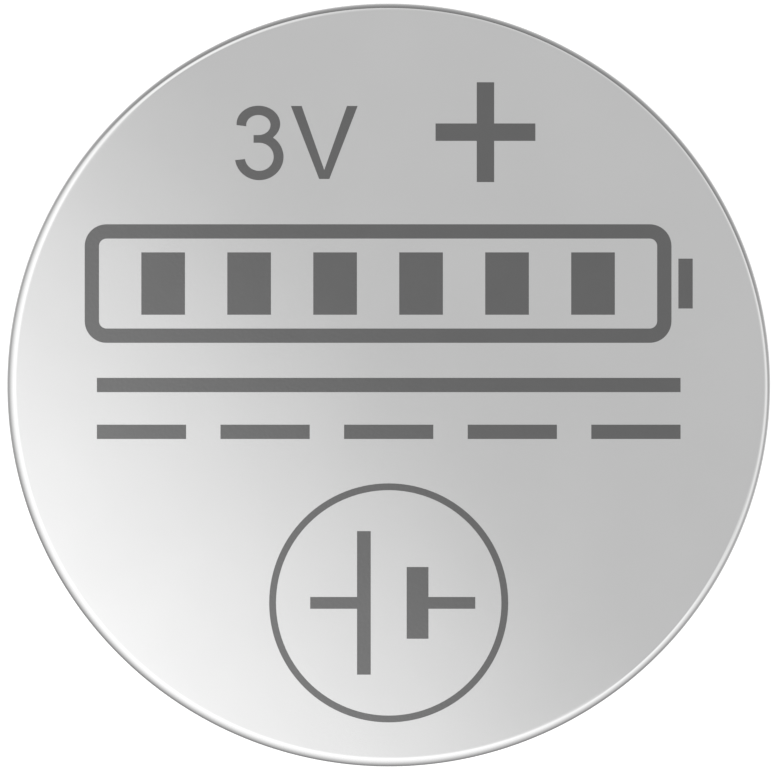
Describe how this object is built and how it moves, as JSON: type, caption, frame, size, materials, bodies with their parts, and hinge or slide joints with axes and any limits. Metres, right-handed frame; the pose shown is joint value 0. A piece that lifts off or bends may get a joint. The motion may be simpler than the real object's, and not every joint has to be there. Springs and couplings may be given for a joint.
{
  "type": "lithium coin cell",
  "caption": "Round flat lithium coin cell: satin steel can with rounded edges, rolled over a plastic gasket onto a stepped steel cap, with dark marks on its positive face.",
  "frame": {"origin": "centre of the negative terminal's flat face, the lowest point of the cell", "axes": "+Z along the disc's axis from the negative terminal to the positive face; +Y towards the polarity cross's side of the print, +X to the right of the print"},
  "size_m": [0.0244, 0.0244, 0.005],
  "materials": {
    "can_steel": "satin nickel plate",
    "cap_steel": "satin nickel plate",
    "gasket_plastic": "milky, semi matte",
    "lithium": "dull soft metal",
    "felt": "nonwoven felt",
    "oxide": "pressed powder",
    "inner_steel": "plain stainless sheet",
    "print": "dark satin print"
  },
  "bodies": {
    "root": {"positive_can": "can_steel", "negative_cap": "cap_steel", "gasket": "gasket_plastic", "lithium_anode": "lithium", "separator": "felt", "cathode_pellet": "oxide", "pellet_ring": "inner_steel", "collector_mesh": "inner_steel", "face_print": "print"}
  },
  "joints": []
}
